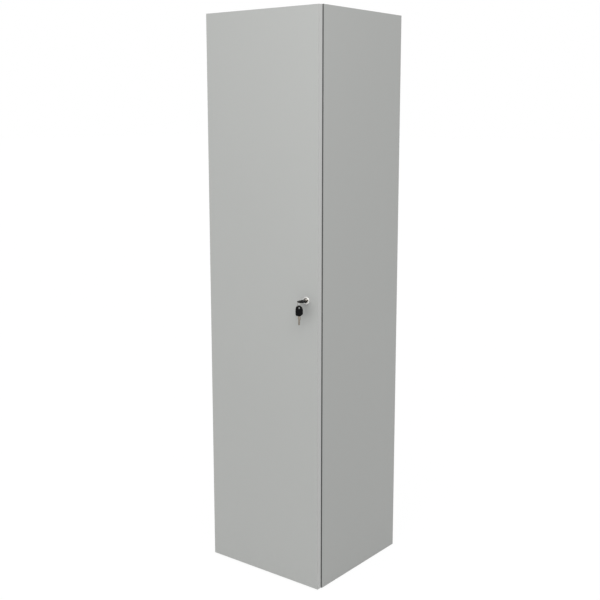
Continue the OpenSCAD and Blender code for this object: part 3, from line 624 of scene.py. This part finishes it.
def strip(shape, low, high, axis, end):
    """A strip on a board's edge, rounded on the face that looks out (end 0 is the low one)."""
    made = set(box_shape(shape, low, high))
    outward = (low, high)[end][axis]
    rim = [e for e in shape.edges
           if set(e.verts) <= made and all(abs(v.co[axis] - outward) < 1e-6 for v in e.verts)]
    bmesh.ops.bevel(shape, geom=rim, offset=STRIP_ROUND, offset_type="OFFSET", segments=2, profile=0.5,
                    affect="EDGES", material=-1, clamp_overlap=True)


whole_low, whole_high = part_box("carcass_edge_bands")
fronts, tops = bmesh.new(), bmesh.new()
for board_name in ("left_side_panel", "right_side_panel"):
    low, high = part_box(board_name)
    strip(fronts, Vector((low.x, whole_low.y, low.z)), Vector((high.x, low.y, whole_high.z)), 1, 0)
    strip(tops, Vector((low.x, low.y, high.z)), Vector((high.x, high.y, whole_high.z)), 2, 1)
for board_name in ("bottom_panel", "top_panel"):
    low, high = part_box(board_name)
    strip(fronts, Vector((low.x, whole_low.y, low.z)), Vector((high.x, low.y, high.z)), 1, 0)
# The front strips wear the dark grey of painted shade.
piece_of(fronts, "front_strips", front_band_painted_shade, "carcass", ("carcass_edge_bands",), smooth=60)
piece_of(tops, "top_strips", band, "carcass", ("carcass_edge_bands",), smooth=60)
shelf_strip = bmesh.new()
strip(shelf_strip, *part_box("shelf_edge_band"), 1, 0)
piece_of(shelf_strip, "shelf_strip", band, "carcass", ("shelf_edge_band",), smooth=60)
print("strips made")

# %% [markdown]
# ## The rosette
#
# The bright ring round the keyhole is turned metal: a rounded rim and a hollow that falls towards
# the plug. A cylinder with a bevel would miss the hollow, and the hollow is what catches a
# crescent of light. So its profile is drawn once as a chain of points and spun round the lock's
# axis, the way a lathe makes it.

# %% The turned rosette
low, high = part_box("lock_rosette")
middle = Vector(((low.x + high.x) / 2, high.y, (low.z + high.z) / 2))
outer = (high.x - low.x) / 2
depth = high.y - low.y
bore = 6.4 * MM
profile = [(bore, 0.0), (outer, 0.0), (outer, 0.30), (outer - 0.1 * MM, 0.55), (outer - 0.4 * MM, 0.8),
           (outer - 0.9 * MM, 0.95), (outer - 1.5 * MM, 1.0), (outer - 2.0 * MM, 0.95),
           (outer - 2.6 * MM, 0.78), (outer - 3.4 * MM, 0.52), (bore + 1.0 * MM, 0.28),
           (bore + 0.3 * MM, 0.22), (bore, 0.17)]
shape = bmesh.new()
chain = [shape.verts.new(middle + Vector((radius, -rise * depth, 0))) for radius, rise in profile]
loop = [shape.edges.new((chain[i], chain[(i + 1) % len(chain)])) for i in range(len(chain))]
bmesh.ops.spin(shape, geom=chain + loop, cent=middle, axis=(0, 1, 0), dvec=(0, 0, 0), angle=math.tau,
               space=Matrix.Identity(4), steps=96, use_merge=True, use_duplicate=False)
bmesh.ops.remove_doubles(shape, verts=shape.verts, dist=0.001 * MM)
print("rosette faces", len(shape.faces), "radius mm", round(outer / MM, 2))
piece_of(shape, "turned_rosette", rosette_nickel, "door", ("lock_rosette",), smooth=50)

# %% [markdown]
# ## The key ring
#
# A key ring is one length of flat wire wound twice, with a short step where one turn crosses to
# the other. A plain torus would read as a toy. The wire's section is spun in three parts: nearly
# one turn, a short part that also moves sideways, and nearly a second turn.

# %% The wound ring
low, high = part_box("key_ring")
middle = (low + high) / 2
wire = high.x - low.x
radius = (high.z - low.z - wire) / 2
side_step = 0.56 * MM
half_thick, half_wide = 0.27 * MM, 0.39 * MM
start_turn = math.radians(12)
shape = bmesh.new()
section = bmesh.ops.create_circle(shape, cap_ends=False, radius=1, segments=12)["verts"]
bmesh.ops.transform(shape, matrix=Matrix.Diagonal((half_thick, half_wide, 1, 1)), verts=section)
upright = Matrix.Translation(middle + Vector((-side_step / 2, -radius, 0)))
bmesh.ops.transform(shape, matrix=upright, verts=section)
start = section + list({e for v in section for e in v.link_edges})
bmesh.ops.rotate(shape, verts=section, cent=middle, matrix=Matrix.Rotation(start_turn, 3, "X"))
for turn, shift, steps in ((336, 0.0, 84), (24, side_step, 8), (336, 0.0, 84)):
    spun = bmesh.ops.spin(shape, geom=start, cent=middle, axis=(1, 0, 0), dvec=(shift / steps, 0, 0),
                          angle=math.radians(turn), space=Matrix.Identity(4), steps=steps, use_merge=False,
                          use_duplicate=False)
    start = spun["geom_last"]
bmesh.ops.holes_fill(shape, edges=[e for e in shape.edges if e.is_boundary], sides=0)
print("ring faces", len(shape.faces), "radius mm", round(radius / MM, 2))
piece_of(shape, "wound_ring", ring_steel, "ring", ("key_ring",), smooth=50)

# %% [markdown]
# ## The floor
#
# In a studio picture the floor is burnt out to white, but it doesn't light the object that much.
# The floor here is a mid-pale matt surface for the light that it sends back, and mostly a plain
# white glow for the camera and for mirrors. The part that isn't glow keeps a faint shadow.

# %% Floor material
FLOOR_GLOW = 1.06
GLOW_SHARE = 0.9
white, tree, shader = material("studio_floor", 0.9, colour=(0.6, 0.6, 0.6))
glow = add(tree, "ShaderNodeEmission", in_Strength=FLOOR_GLOW)
share = add(tree, "ShaderNodeMath", operation="MULTIPLY", in_1=GLOW_SHARE)
join(tree, seen_directly(tree), share.inputs[0])
blend = add(tree, "ShaderNodeMixShader")
join(tree, share.outputs[0], blend.inputs["Fac"])
join(tree, shader.outputs[0], blend.inputs[1])
join(tree, glow.outputs[0], blend.inputs[2])
join(tree, blend.outputs[0], tree.nodes["Material Output"].inputs["Surface"])
floor.data.materials.append(white)
